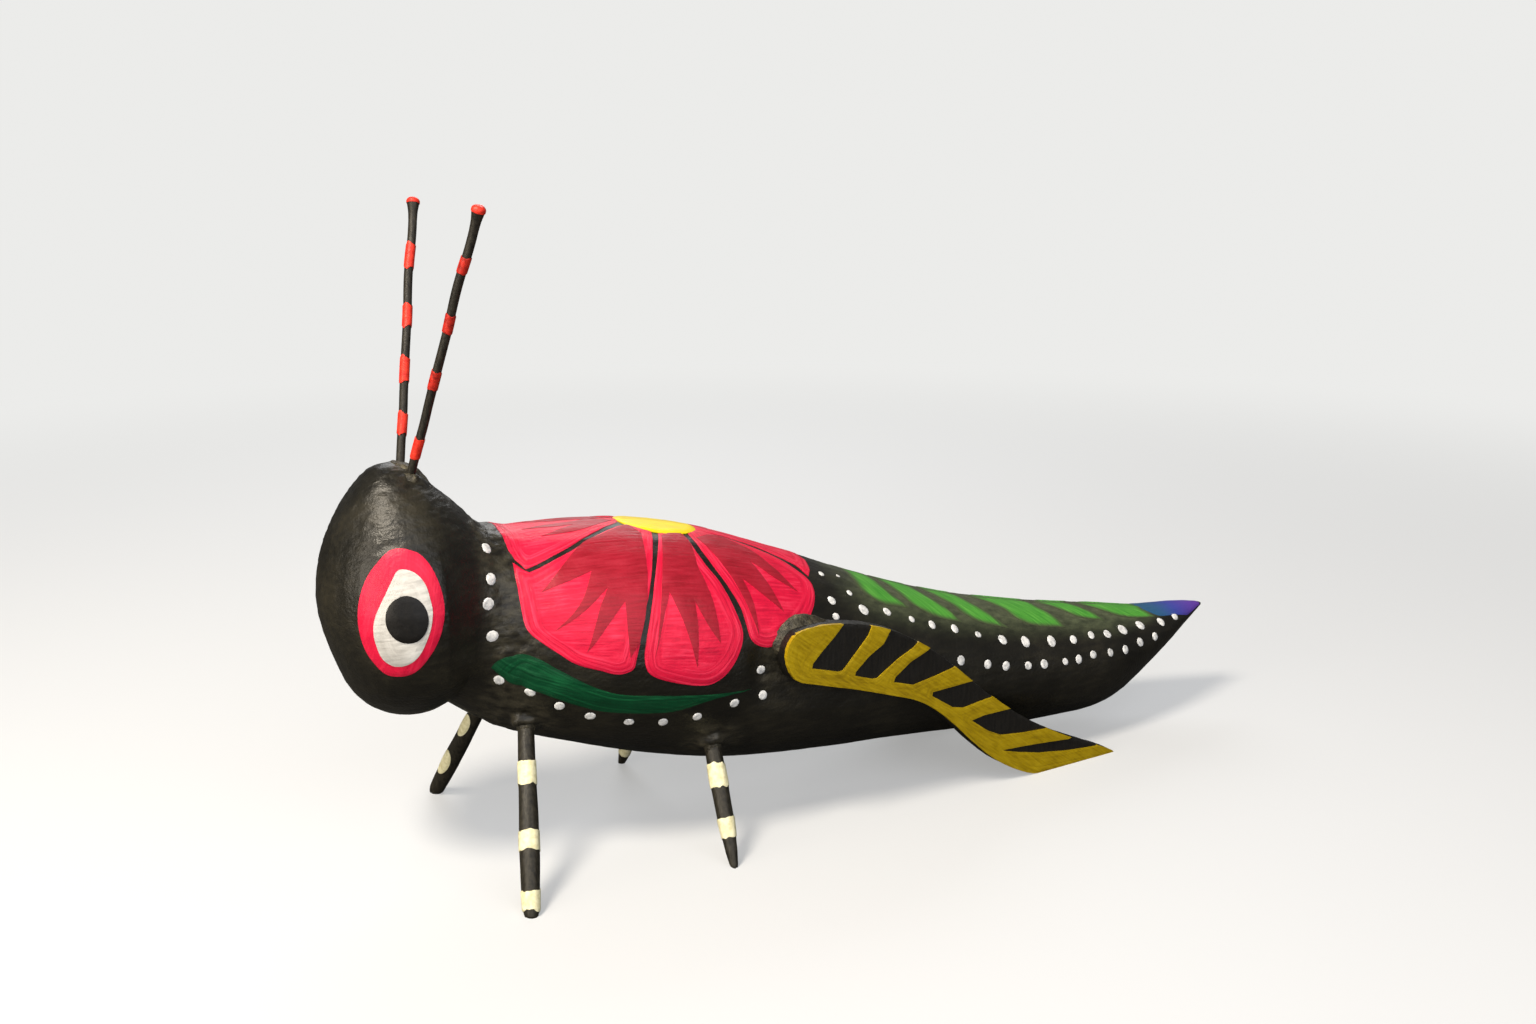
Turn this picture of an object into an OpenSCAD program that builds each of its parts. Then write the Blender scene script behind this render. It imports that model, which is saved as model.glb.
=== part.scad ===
// Carved and painted wooden grasshopper, built as its maker builds it: a carved head and a carved
// body pinned together, whittled legs and feelers glued into drilled holes, and paste over each joint.
// Millimetres. X runs from the head to the tail, Y from the figure's left to its right, Z up.
// The origin is under the middle of the figure, on the surface that it stands on.

/* [Figure] */
// Length from the face to the tip of the tail
figure_l = 246; // [200:1:290]
// Full width of the body at its widest
body_w = 56; // [52:0.5:60]
// Full width of the head at its widest
head_w = 43; // [40:0.5:46]

/* [Neck joint] */
// Distance of the glued seam behind the face
neck_x = 36; // [35:0.5:37.5]
// Width of the paste band that hides the seam
neck_band_w = 3; // [2:0.5:4]
// Diameter of the wooden neck core inside the band
neck_core_d = 30; // [26:1:32]
// Diameter of the neck dowel
neck_dowel_d = 8; // [6:0.5:10]
// Length of the neck dowel
neck_dowel_l = 30; // [20:1:32]

/* [Feelers] */
// Diameter of a feeler where it enters the head
feeler_d = 1.9; // [1.6:0.1:2.4]
// Diameter of the small knob at a feeler's tip
feeler_knob_d = 2.7; // [2:0.1:3.4]
// Height of the feeler tips above the table
feeler_tip_z = 145; // [120:1:160]
// Distance of each feeler tip from the centre plane
feeler_spread = 24; // [12:1:34]

/* [Small legs] */
// Diameter of a front leg at its thickest
front_leg_d = 4.4; // [3.6:0.1:5.2]
// Diameter of a middle leg at its thickest
middle_leg_d = 4.1; // [3.6:0.1:4.8]
// Depth of the glued tenon in the body
leg_tenon_l = 9; // [6:0.5:11]
// Diameter of each leg's tenon
leg_tenon_d = 3.4; // [3:0.1:3.6]

/* [Hind legs] */
// Thickness of the carved hind leg
hind_leg_t = 4.5; // [3.5:0.1:5]
// Turn of the hind leg's flat from the centre plane, in degrees
hind_leg_turn = 4.7; // [4:0.1:5.5]
// Diameter of the hind leg's dowel
hind_dowel_d = 4; // [3:0.5:5]

/* [Hidden] */

$fn = 48;
black = "#1B1916";
paste = "#2A2620";
raw_wood = "#D8B98A";
feeler_black = "#1F1B18";
leg_black = "#26221D";
leg_olive = "#B79A12";

// The carved shapes are drawn with the face at x = 0 and are moved back by half the length.
drawn_l = 246;
drawn_body_w = 56;
drawn_head_w = 42;
cut = 200;
skin_sides = 32;
nape_x = 20;
latitude_step = 8.6;

// Body stations: distance behind the face, top, underside, half width.
BODY = [
    [20, 91.5, 41.5, 14],
    [36, 76, 30, 18],
    [50, 74.5, 24.5, 24],
    [66, 73.5, 19, 27],
    [86, 69.5, 14, 28],
    [110, 61, 11, 26],
    [135, 51, 9.5, 23],
    [160, 43, 7.5, 20.5],
    [185, 37.5, 5.5, 18],
    [208, 33.5, 7, 14.5],
    [226, 30.5, 17.5, 9.5],
    [238, 30, 24, 4.5],
    [246, 29, 28, 0.8],
];

// Head stations: latitude, middle of the section behind the face, its half length, its half width.
HEAD = [
    [-90, 18.8, 20, 22.2],
    [-60, 18.1, 19.5, 21.5],
    [-30, 18.6, 18.3, 21.9],
    [0, 18.5, 18.5, 21],
    [30, 17.7, 16.9, 18.8],
    [60, 17.1, 14.8, 15.8],
    [90, 17.3, 12.9, 12.9],
];
head_z = 63.5;
head_half_h = 27.5;

// Hind leg outline as distance behind the face and height, from the root round by the foot, whose
// sole is cut level with the table.
hind_origin = [100, -30];
HIND_LEG = [
    [95.2, 45], [97, 49.4], [101, 50.8], [108, 50.6], [118, 48.7], [128, 44.8],
    [139, 37.9], [150, 28.7], [164, 18], [180, 8.8], [196, 1.6], [197.4, -0.2], [186, -0.4], [173, -0.2],
    [166, 2], [158, 6.6], [150, 13.3], [141, 21.8], [133, 27.2], [125, 30.2], [115, 33.6], [104, 36.9],
    [97.6, 39.3],
];
// Paste round the front of the hind leg's root, outer edge.
HIND_PASTE = [
    [108, 53], [100, 53.2], [95.5, 51.5], [92.8, 47.5], [92.6, 42.5], [95, 38.2], [101, 35], [108, 32.8],
    [112, 44],
];
hind_dowel_at = [112, 42];
hind_dowel_in_leg = 3;
hind_dowel_in_body = 9;
hind_paste_t = 2.6;
seat_from = -12;
seat_to = 42;

// Where the small legs leave the body and where they stand.
left_front_root = [40, -12.7, 33.6];
left_front_foot = [32, -36, 0];
left_middle_root = [81, -21, 24.5];
left_middle_foot = [79.5, -35.5, 0];
right_front_root = [40, 12.7, 33.6];
right_front_foot = [32, 36, 0];
right_middle_root = [81, 19.5, 22.8];
right_middle_foot = [80, 31.5, 0];
leg_paste_r = 3.3;
leg_paste_depth = 3;
leg_paste_proud = 1.6;
foot_overrun = 1.2;

feeler_base = [20, 4.5, 90];
feeler_tip_x = 31;
feeler_tenon_l = 8;
feeler_paste_r = 6.1;
feeler_paste_floor = 87.8;
feeler_paste_top = 91.2;
seam_turn = 30;
neck_axis_z = 53;
band_x0 = neck_x - neck_band_w / 2;
band_x1 = neck_x + neck_band_w / 2;

// Slope at station i of column c, and the smooth curve through the stations.
function slope(t, i, c) =
    i == 0 ? (t[1][c] - t[0][c]) / (t[1][0] - t[0][0]) :
    i == len(t) - 1 ? (t[i][c] - t[i - 1][c]) / (t[i][0] - t[i - 1][0]) :
    let (a = t[i][0] - t[i - 1][0], b = t[i + 1][0] - t[i][0])
    ((t[i + 1][c] - t[i][c]) * a * a + (t[i][c] - t[i - 1][c]) * b * b) / (a * b * (a + b));
function span_of(t, x, i = 0) = i == len(t) - 2 || x < t[i + 1][0] ? i : span_of(t, x, i + 1);
function along_stations(t, x, c) =
    let (i = span_of(t, x), h = t[i + 1][0] - t[i][0], u = (x - t[i][0]) / h)
    (2 * u * u * u - 3 * u * u + 1) * t[i][c] + (u * u * u - 2 * u * u + u) * h * slope(t, i, c)
    + (3 * u * u - 2 * u * u * u) * t[i + 1][c] + (u * u * u - u * u) * h * slope(t, i + 1, c);

// One ring of the body, square to X, and one ring of the head, level.
function body_ring(x) =
    let (top = along_stations(BODY, x, 1), under = along_stations(BODY, x, 2),
         half_w = along_stations(BODY, x, 3) * body_w / drawn_body_w)
    [for (k = [0 : skin_sides - 1])
        let (a = 360 * k / skin_sides)
        [x, half_w * sin(a), (top + under) / 2 + (top - under) / 2 * cos(a)]];
function head_ring(latitude) =
    let (middle = along_stations(HEAD, latitude, 1), half_l = along_stations(HEAD, latitude, 2),
         half_w = along_stations(HEAD, latitude, 3) * head_w / drawn_head_w)
    [for (k = [0 : skin_sides - 1])
        let (a = 360 * k / skin_sides)
        [middle + half_l * cos(latitude) * cos(a), -half_w * cos(latitude) * sin(a),
         head_z + head_half_h * sin(latitude)]];

// A closed skin over rings that have the same number of points.
module skin(rings) {
    n = len(rings[0]);
    last = len(rings) - 1;
    sides = [for (i = [0 : last - 1]) for (k = [0 : n - 1])
        let (m = (k + 1) % n)
        each [[i * n + k, i * n + m, (i + 1) * n + m], [i * n + k, (i + 1) * n + m, (i + 1) * n + k]]];
    first_cap = [for (k = [n - 1 : -1 : 0]) k];
    last_cap = [for (k = [0 : n - 1]) last * n + k];
    polyhedron(points = [for (r = rings) each r], faces = concat(sides, [first_cap, last_cap]));
}

// Everything is drawn from the face and placed over the origin.
module placed() {
    scale(figure_l / drawn_l) translate([-drawn_l / 2, 0, 0]) children();
}

// The egg of the head, and a stretch of the body between two distances behind the face.
module head_egg() {
    skin([for (latitude = [-86 : latitude_step : 86.1]) head_ring(latitude)]);
}

module body_stretch(x0, x1, rings) {
    skin([for (i = [0 : rings]) body_ring(x0 + (x1 - x0) * i / rings)]);
}

// A child drawn along +Z is laid from point a towards point b.
module from_to(a, b) {
    d = b - a;
    translate(a) rotate([0, acos(d[2] / norm(d)), atan2(d[1], d[0])]) children();
}

// The point that lies t mm from a on the line to b.
function point_along(a, b, t) = a + (b - a) * t / norm(b - a);

module slab(x0, x1) {
    translate([x0, -cut / 2, 0]) cube([x1 - x0, cut, cut]);
}

module neck_rod(d, x0, x1) {
    translate([x0, 0, neck_axis_z]) rotate([0, 90, 0]) cylinder(d = d, h = x1 - x0);
}

module neck_bore() {
    neck_rod(neck_dowel_d, neck_x - neck_dowel_l / 2, neck_x + neck_dowel_l / 2);
}

feeler_tip = [feeler_tip_x, feeler_spread, feeler_tip_z];
feeler_start = point_along(feeler_base, feeler_tip, -feeler_tenon_l);

// side is -1 on the figure's left and 1 on its right.
module on_side(side) {
    mirror([0, side > 0 ? 0 : 1, 0]) children();
}

module feeler_rod(side, d, length) {
    on_side(side) from_to(feeler_start, feeler_tip) rotate([0, 0, seam_turn]) cylinder(d = d, h = length);
}

module feeler_paste_pocket() {
    translate([feeler_base[0], 0, feeler_paste_floor])
        cylinder(r = feeler_paste_r, h = head_half_h);
}

module head() {
    color(black) placed() difference() {
        union() {
            intersection() {
                head_egg();
                slab(-cut, band_x0);
            }
            body_stretch(nape_x, band_x0, 5);
            neck_rod(neck_core_d, band_x0 - neck_band_w, neck_x);
        }
        neck_bore();
        feeler_paste_pocket();
        for (side = [-1, 1]) feeler_rod(side, feeler_d, feeler_tenon_l + 4);
    }
}

module body() {
    color(black) placed() difference() {
        union() {
            body_stretch(band_x1, drawn_l, 42);
            neck_rod(neck_core_d, neck_x, band_x1 + neck_band_w);
        }
        neck_bore();
        leg_socket(left_front_root, left_front_foot);
        leg_socket(right_front_root, right_front_foot);
        leg_socket(left_middle_root, left_middle_foot);
        leg_socket(right_middle_root, right_middle_foot);
        for (side = [-1, 1]) hind_side(side) {
            hind_seat();
            hind_dowel_rod();
        }
    }
}

module neck_dowel() {
    color(raw_wood) placed() neck_bore();
}

// The paste fills the groove round the neck core, flush with the carved skin.
module neck_filler() {
    color(paste) placed() difference() {
        body_stretch(band_x0, band_x1, 2);
        neck_rod(neck_core_d, band_x0 - neck_band_w, band_x1 + neck_band_w);
    }
}

module antenna(side) {
    length = norm(feeler_tip - feeler_start);
    r = feeler_d / 2;
    knob_r = feeler_knob_d / 2;
    color(feeler_black) placed() on_side(side) from_to(feeler_start, feeler_tip) rotate_extrude()
        polygon([[0, 0], [r, 0], [r, length - 5], [r + 0.1, length - 3], [knob_r, length - 1.2],
                 [knob_r, length - 0.5], [knob_r - 0.5, length], [0, length]]);
}

module left_antenna() { antenna(-1); }
module right_antenna() { antenna(1); }

module antenna_filler() {
    h = feeler_paste_top - feeler_paste_floor;
    r = feeler_paste_r;
    color(paste) placed() difference() {
        translate([feeler_base[0], 0, feeler_paste_floor]) rotate_extrude()
            polygon([[0, 0], [r, 0], [r, h - 2.4], [r - 0.8, h - 1.4], [r - 3.2, h - 0.3], [0, h]]);
        for (side = [-1, 1]) feeler_rod(side, feeler_d, feeler_tenon_l + 8);
    }
}

// Tenon start, where the socket in the body ends.
function tenon_start(root, foot) = point_along(root, foot, -leg_tenon_l);

module leg_socket(root, foot) {
    from_to(tenon_start(root, foot), foot) {
        cylinder(d = leg_tenon_d, h = leg_tenon_l + 6);
        translate([0, 0, leg_tenon_l - leg_paste_depth]) cylinder(r = leg_paste_r, h = cut);
    }
}

// A whittled peg: profile is a list of [share of the free length, radius].
module small_leg_solid(root, foot, profile) {
    free_l = norm(foot - root) + foot_overrun;
    shoulder = leg_tenon_l - leg_paste_depth + 0.5;
    outline = concat([[0, 0], [leg_tenon_d / 2, 0], [leg_tenon_d / 2, shoulder]],
                     [for (p = profile) [p[1], leg_tenon_l + free_l * p[0]]],
                     [[0, leg_tenon_l + free_l]]);
    difference() {
        from_to(tenon_start(root, foot), foot) rotate_extrude() polygon(outline);
        translate([-cut, -cut, -cut]) cube([cut * 3, cut * 2, cut]);
    }
}

module small_leg(root, foot, profile) {
    color(leg_black) placed() small_leg_solid(root, foot, profile);
}

function front_profile() =
    let (r = front_leg_d / 2)
    [[0.02, r * 0.8], [0.35, r * 0.9], [0.68, r], [0.85, r * 0.9], [0.94, r * 0.82], [0.985, r * 0.6]];
function middle_profile() =
    let (r = middle_leg_d / 2)
    [[0.02, r * 0.9], [0.3, r], [0.6, r * 0.92], [0.85, r * 0.66], [0.96, r * 0.42], [0.99, r * 0.3]];

module left_front_leg() { small_leg(left_front_root, left_front_foot, front_profile()); }
module right_front_leg() { small_leg(right_front_root, right_front_foot, front_profile()); }
module left_middle_leg() { small_leg(left_middle_root, left_middle_foot, middle_profile()); }
module right_middle_leg() { small_leg(right_middle_root, right_middle_foot, middle_profile()); }

// A collar of paste that fills the countersink round the peg and stands a little proud.
module leg_filler(root, foot, profile) {
    r = leg_paste_r;
    h = leg_paste_depth + leg_paste_proud;
    color(paste) placed() difference() {
        from_to(tenon_start(root, foot), foot) translate([0, 0, leg_tenon_l - leg_paste_depth])
            rotate_extrude() polygon([[0, 0], [r, 0], [r, h - 1.6], [r - 0.5, h - 0.6], [0, h]]);
        small_leg_solid(root, foot, profile);
    }
}

module left_front_leg_filler() { leg_filler(left_front_root, left_front_foot, front_profile()); }
module right_front_leg_filler() { leg_filler(right_front_root, right_front_foot, front_profile()); }
module left_middle_leg_filler() { leg_filler(left_middle_root, left_middle_foot, middle_profile()); }
module right_middle_leg_filler() { leg_filler(right_middle_root, right_middle_foot, middle_profile()); }

// The hind leg's own frame: x along its flat, y from its outer face into the body. The children are
// drawn for the left side, and are mirrored for the right.
module hind_side(side) {
    on_side(side) mirror([0, 1, 0]) translate([hind_origin[0], hind_origin[1], 0])
        rotate([0, 0, hind_leg_turn]) children();
}

module hind_plate(outline, y0, y1) {
    translate([0, y1, 0]) rotate([90, 0, 0]) linear_extrude(height = y1 - y0)
        translate([-hind_origin[0], 0]) polygon(outline);
}

module hind_seat() {
    translate([seat_from, hind_leg_t - cut, 0]) cube([seat_to - seat_from, cut, cut]);
}

module hind_dowel_rod() {
    start = hind_leg_t - hind_dowel_in_leg;
    translate([hind_dowel_at[0] - hind_origin[0], start, hind_dowel_at[1]]) rotate([-90, 0, 0])
        cylinder(d = hind_dowel_d, h = hind_dowel_in_leg + hind_dowel_in_body);
}

// One smooth closed line through a list of points.
function loop_curve(p, steps = 4) =
    [for (i = [0 : len(p) - 1]) for (s = [0 : steps - 1])
        let (n = len(p), u = s / steps, a = p[(i + n - 1) % n], b = p[i], c = p[(i + 1) % n], d = p[(i + 2) % n])
        (2 * b + (c - a) * u + (2 * a - 5 * b + 4 * c - d) * u * u + (3 * b - a - 3 * c + d) * u * u * u) / 2];

module hind_leg_solid() {
    difference() {
        hind_plate(loop_curve(HIND_LEG, 3), 0, hind_leg_t);
        translate([-cut, -cut, -cut]) cube([cut * 2, cut * 2, cut]);
    }
}

module hind_leg(side) {
    color(leg_olive) placed() hind_side(side) difference() {
        hind_leg_solid();
        hind_dowel_rod();
    }
}

module left_hind_leg() { hind_leg(-1); }
module right_hind_leg() { hind_leg(1); }

module left_hind_leg_dowel() { color(raw_wood) placed() hind_side(-1) hind_dowel_rod(); }
module right_hind_leg_dowel() { color(raw_wood) placed() hind_side(1) hind_dowel_rod(); }

module hind_leg_filler(side) {
    color(paste) placed() hind_side(side) difference() {
        hind_plate(loop_curve(HIND_PASTE, 3), hind_leg_t - hind_paste_t, hind_leg_t);
        hind_leg_solid();
    }
}

module left_hind_leg_filler() { hind_leg_filler(-1); }
module right_hind_leg_filler() { hind_leg_filler(1); }

head();
body();
neck_dowel();
neck_filler();
left_antenna();
right_antenna();
antenna_filler();
left_front_leg();
right_front_leg();
left_middle_leg();
right_middle_leg();
left_front_leg_filler();
right_front_leg_filler();
left_middle_leg_filler();
right_middle_leg_filler();
left_hind_leg();
right_hind_leg();
left_hind_leg_dowel();
right_hind_leg_dowel();
left_hind_leg_filler();
right_hind_leg_filler();
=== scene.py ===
"""A carved wooden grasshopper, painted by hand: black wood with a flower, leaves, dots and banded legs.

The wood is taken from the frame's own solids, rubbed smooth and given its knife and brush marks.
Every painted shape is a thin closed layer of dried paint, laid on that wood.
Places are in millimetres behind the face, to the figure's right, and above the table.
"""
import math
import random

import bmesh
import bpy
import numpy as np
from mathutils import Matrix, Vector, noise
from mathutils.bvhtree import BVHTree
from mathutils.geometry import interpolate_bezier, intersect_point_line
from mathutils.kdtree import KDTree


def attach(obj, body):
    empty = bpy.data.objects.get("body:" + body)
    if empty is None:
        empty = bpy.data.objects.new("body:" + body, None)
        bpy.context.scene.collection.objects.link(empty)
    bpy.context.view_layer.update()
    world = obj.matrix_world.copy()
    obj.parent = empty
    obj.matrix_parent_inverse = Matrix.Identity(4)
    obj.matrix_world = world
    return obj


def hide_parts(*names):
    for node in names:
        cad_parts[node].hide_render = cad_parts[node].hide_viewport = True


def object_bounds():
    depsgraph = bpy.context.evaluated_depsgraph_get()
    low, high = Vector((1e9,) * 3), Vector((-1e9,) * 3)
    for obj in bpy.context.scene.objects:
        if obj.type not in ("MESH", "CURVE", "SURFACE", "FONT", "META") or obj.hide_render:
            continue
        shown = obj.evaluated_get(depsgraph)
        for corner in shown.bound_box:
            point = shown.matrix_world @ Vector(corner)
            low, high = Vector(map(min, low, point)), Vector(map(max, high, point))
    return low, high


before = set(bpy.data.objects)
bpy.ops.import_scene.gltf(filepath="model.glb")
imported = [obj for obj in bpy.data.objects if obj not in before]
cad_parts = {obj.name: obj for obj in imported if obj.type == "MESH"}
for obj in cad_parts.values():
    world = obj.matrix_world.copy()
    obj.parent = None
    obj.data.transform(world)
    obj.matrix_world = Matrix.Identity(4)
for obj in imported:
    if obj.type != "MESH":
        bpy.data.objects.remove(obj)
CAD_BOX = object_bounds()
MM = 0.001
FACE_X = CAD_BOX[0].x
LEFT, RIGHT = -1, 1
SIDES = {"left": LEFT, "right": RIGHT}


def metres(x, y, z):
    """A place in the frame, from millimetres behind the face, to the right and up."""
    return Vector((FACE_X + x * MM, y * MM, z * MM))


def millimetres(point):
    """The same place back in millimetres behind the face, to the right and up."""
    return Vector(((point.x - FACE_X) / MM, point.y / MM, point.z / MM))


# ---------------------------------------------------------------- nodes and colours

TIMES = {"operation": "MULTIPLY"}
PLUS_SHARE = {"operation": "MULTIPLY_ADD"}  # input 0 times input 1, plus input 2
SMOOTH = {"interpolation_type": "SMOOTHSTEP"}
COLOURS = {"data_type": "RGBA"}
MIXED_COLOUR = 2  # the output of a Mix node that is set to COLOURS


def linear(hex_colour):
    """Scene-linear RGBA of an sRGB hex colour."""
    parts = [int(hex_colour[i:i + 2], 16) / 255 for i in (1, 3, 5)]
    return [p / 12.92 if p <= 0.04045 else ((p + 0.055) / 1.055) ** 2.4 for p in parts] + [1.0]


def plug(finish, value, socket):
    """Gives an input its value, or joins another node's output to it."""
    if isinstance(value, bpy.types.NodeSocket):
        finish.node_tree.links.new(value, socket)
    else:
        socket.default_value = value


def add_node(finish, kind, settings=None, out=0, stops=(), **inputs):
    """Adds a node and gives one of its outputs, the first unless out says which.
    An input goes by its name, with underscores for spaces, or by n and its number.
    Stops are the (position, hex colour) of a colour ramp."""
    node = finish.node_tree.nodes.new(kind)
    for key, value in (settings or {}).items():
        setattr(node, key, value)
    while len(stops) > 2 and len(node.color_ramp.elements) < len(stops):
        node.color_ramp.elements.new(0.5)
    for index, (position, hex_colour) in enumerate(stops):
        node.color_ramp.elements[index].position = position
        node.color_ramp.elements[index].color = linear(hex_colour)
    for key, value in inputs.items():
        plug(finish, value, node.inputs[int(key[1:]) if key[1:].isdigit() else key.replace("_", " ")])
    return node.outputs[out]


# ---------------------------------------------------------------- camera and light

def place_camera():
    """Looks at the figure from its front left, and a little down on it."""
    data = bpy.data.cameras.new("camera")
    data.lens = 36.375
    data.sensor_width = 36
    camera = bpy.data.objects.new("camera", data)
    turn = math.radians(27.63)
    tilt = math.radians(13.49)
    looks = Vector((math.sin(turn) * math.cos(tilt), math.cos(turn) * math.cos(tilt), -math.sin(tilt)))
    camera.location = metres(-61.2, -320.4, 157.5)
    camera.rotation_euler = looks.to_track_quat("-Z", "Y").to_euler()
    bpy.context.scene.collection.objects.link(camera)
    bpy.context.scene.camera = camera


def soft_lamp(name, place, aim, width, watts, hex_colour):
    """A round lamp, width metres across, turned towards aim."""
    data = bpy.data.lights.new(name, "AREA")
    data.shape = "DISK"
    data.size = width
    data.energy = watts
    data.color = linear(hex_colour)[:3]
    lamp = bpy.data.objects.new(name, data)
    lamp.location = place
    lamp.rotation_euler = (aim - place).to_track_quat("-Z", "Y").to_euler()
    bpy.context.scene.collection.objects.link(lamp)


def light_the_studio():
    """A warm key from above the face, a cooler fill from the left, and a pale room all round."""
    middle = metres(110, 0, 50)
    soft_lamp("key", metres(-290, -190, 640), metres(50, 0, 60), 0.2, 5.6, "#FFF3DF")
    soft_lamp("fill", metres(80, -640, 350), middle, 0.9, 2.7, "#FAFBFF")
    soft_lamp("back", metres(260, 480, 420), middle, 0.4, 1.2, "#FFFFFF")
    soft_lamp("front", metres(-520, -220, 110), metres(40, 10, 25), 0.5, 2.8, "#FFF4E2")
    world = bpy.data.worlds.new("studio")
    world.use_nodes = True
    background = world.node_tree.nodes["Background"]
    background.inputs["Color"].default_value = linear("#F7F7F5")
    seen = add_node(world, "ShaderNodeLightPath", out="Is Camera Ray")
    strength = add_node(world, "ShaderNodeMapRange", Value=seen, To_Min=0.15, To_Max=0.9)
    plug(world, strength, background.inputs["Strength"])
    bpy.context.scene.world = world
    bpy.context.scene.view_settings.view_transform = "Standard"


# ---------------------------------------------------------------- finishes

ACRYLIC_IOR = 1.49


def new_finish(name):
    """A material that is worked out by nodes."""
    finish = bpy.data.materials.new(name)
    finish.use_nodes = True
    return finish


def coated(finish, colour, roughness, marks, depth_mm, strength, gloss=None):
    """Joins up a finish: its colour, its roughness, and marks depth_mm deep for the light to catch.
    Dried acrylic has the gloss of a plastic film, and the thin, much handled coats have less."""
    shader = finish.node_tree.nodes["Principled BSDF"]
    normal = add_node(finish, "ShaderNodeBump", Height=marks, Distance=depth_mm * MM, Strength=strength)
    plug(finish, colour, shader.inputs["Base Color"])
    plug(finish, roughness, shader.inputs["Roughness"])
    plug(finish, normal, shader.inputs["Normal"])
    if gloss is not None:
        shader.inputs["IOR"].default_value = ACRYLIC_IOR
        shader.inputs["Specular IOR Level"].default_value = gloss
    return finish


def surface_noise(finish, size_mm, detail=3.0, stretch=(1, 1, 1)):
    """Noise on the wood itself, with lumps of about size_mm, drawn out by stretch."""
    place = add_node(finish, "ShaderNodeTexCoord", out="Object")
    scale = [1 / (size_mm * MM * s) for s in stretch]
    place = add_node(finish, "ShaderNodeMapping", Vector=place, Scale=scale)
    return add_node(finish, "ShaderNodeTexNoise", Vector=place, Scale=1.0, Detail=detail)


def brush_noise(finish, bristle_mm, streak_mm):
    """Streaks that follow the brush: bristle_mm apart and about streak_mm long."""
    place = add_node(finish, "ShaderNodeUVMap", {"uv_map": "brush"})
    scale = (1 / bristle_mm, 1 / streak_mm, 1)
    place = add_node(finish, "ShaderNodeMapping", Vector=place, Scale=scale)
    return add_node(finish, "ShaderNodeTexNoise", Vector=place, Scale=1.0, Detail=3.0)


def rim_distance(finish):
    """Millimetres from the rim of a painted shape."""
    return add_node(finish, "ShaderNodeAttribute", {"attribute_name": "rim"}, "Fac")


def rim_noise(finish, bristle_mm, streak_mm):
    """Ridges that run beside the rim of a painted shape."""
    place = add_node(finish, "ShaderNodeTexCoord", out="Object")
    slow = add_node(finish, "ShaderNodeMapping", Vector=place, Scale=[1 / (streak_mm * MM)] * 3)
    across = add_node(finish, "ShaderNodeMath", TIMES, n0=rim_distance(finish), n1=1 / bristle_mm)
    across = add_node(finish, "ShaderNodeCombineXYZ", X=across)
    place = add_node(finish, "ShaderNodeVectorMath", {"operation": "ADD"}, n0=slow, n1=across)
    return add_node(finish, "ShaderNodeTexNoise", Vector=place, Scale=1.0, Detail=2.0)


def broad_and_fine(finish, broad, fine, share):
    """Two noises as one: a share of the broad one, and the rest of the fine one."""
    broad = add_node(finish, "ShaderNodeMath", TIMES, n0=broad, n1=share)
    return add_node(finish, "ShaderNodeMath", PLUS_SHARE, n0=fine, n1=1 - share, n2=broad)


def satin_black_over_copal():
    """Black acrylic rubbed into carved copal: near black, warm olive brown where handling has polished it.
    Fine crinkles from the knife and the drying coat break up every highlight."""
    finish = new_finish("satin_black_over_copal")
    patches = surface_noise(finish, 16, 2.0)
    grain = surface_noise(finish, 1.6, 4.0, (2.4, 1.2, 0.8))
    crinkle = surface_noise(finish, 0.75)
    wear = broad_and_fine(finish, patches, grain, 0.6)
    worn = add_node(finish, "ShaderNodeValToRGB", Fac=wear,
                    stops=((0.3, "#0C0B08"), (0.52, "#1A1811"), (0.75, "#302C20")))
    # over the paste the black turns lighter grey-brown: partly the dusty paste's own colour, partly a painted
    # sheen
    paste_dust_and_sheen = add_node(finish, "ShaderNodeValToRGB", Fac=grain, stops=((0.35, "#1A1812"), (0.65, "#413D31")))
    green = add_node(finish, "ShaderNodeValToRGB", Fac=grain, stops=((0.3, "#3A412F"), (0.7, "#5B6349")))
    paste = add_node(finish, "ShaderNodeAttribute", {"attribute_name": "paste"}, "Fac")
    paste = add_node(finish, "ShaderNodeMath", TIMES, n0=paste, n1=0.75)
    haze = add_node(finish, "ShaderNodeAttribute", {"attribute_name": "haze"}, "Fac")
    colour = add_node(finish, "ShaderNodeMix", COLOURS, MIXED_COLOUR, n0=paste, n6=worn, n7=paste_dust_and_sheen)
    colour = add_node(finish, "ShaderNodeMix", COLOURS, MIXED_COLOUR, n0=haze, n6=colour, n7=green)
    roughness = add_node(finish, "ShaderNodeMapRange", SMOOTH, Value=patches, From_Min=0.3, From_Max=0.7,
                         To_Min=0.34, To_Max=0.46)
    marks = add_node(finish, "ShaderNodeMath", PLUS_SHARE, n0=grain, n1=1.1, n2=crinkle)
    return coated(finish, colour, roughness, marks, 0.16, 0.8, 0.5)


def satin_black_whittled(name, low, high, gloss=0.4):
    """Black acrylic on thin whittled pegs: long flat knife strokes show as soft streaks along the peg."""
    finish = new_finish(name)
    streaks = surface_noise(finish, 0.9, 3.0, (0.7, 0.7, 5))
    specks = surface_noise(finish, 0.5)
    shade = broad_and_fine(finish, streaks, specks, 0.7)
    colour = add_node(finish, "ShaderNodeValToRGB", Fac=shade, stops=((0.3, low), (0.72, high)))
    marks = add_node(finish, "ShaderNodeMath", PLUS_SHARE, n0=specks, n1=0.6, n2=streaks)
    return coated(finish, colour, 0.48, marks, 0.12, 0.8, gloss)


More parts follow.
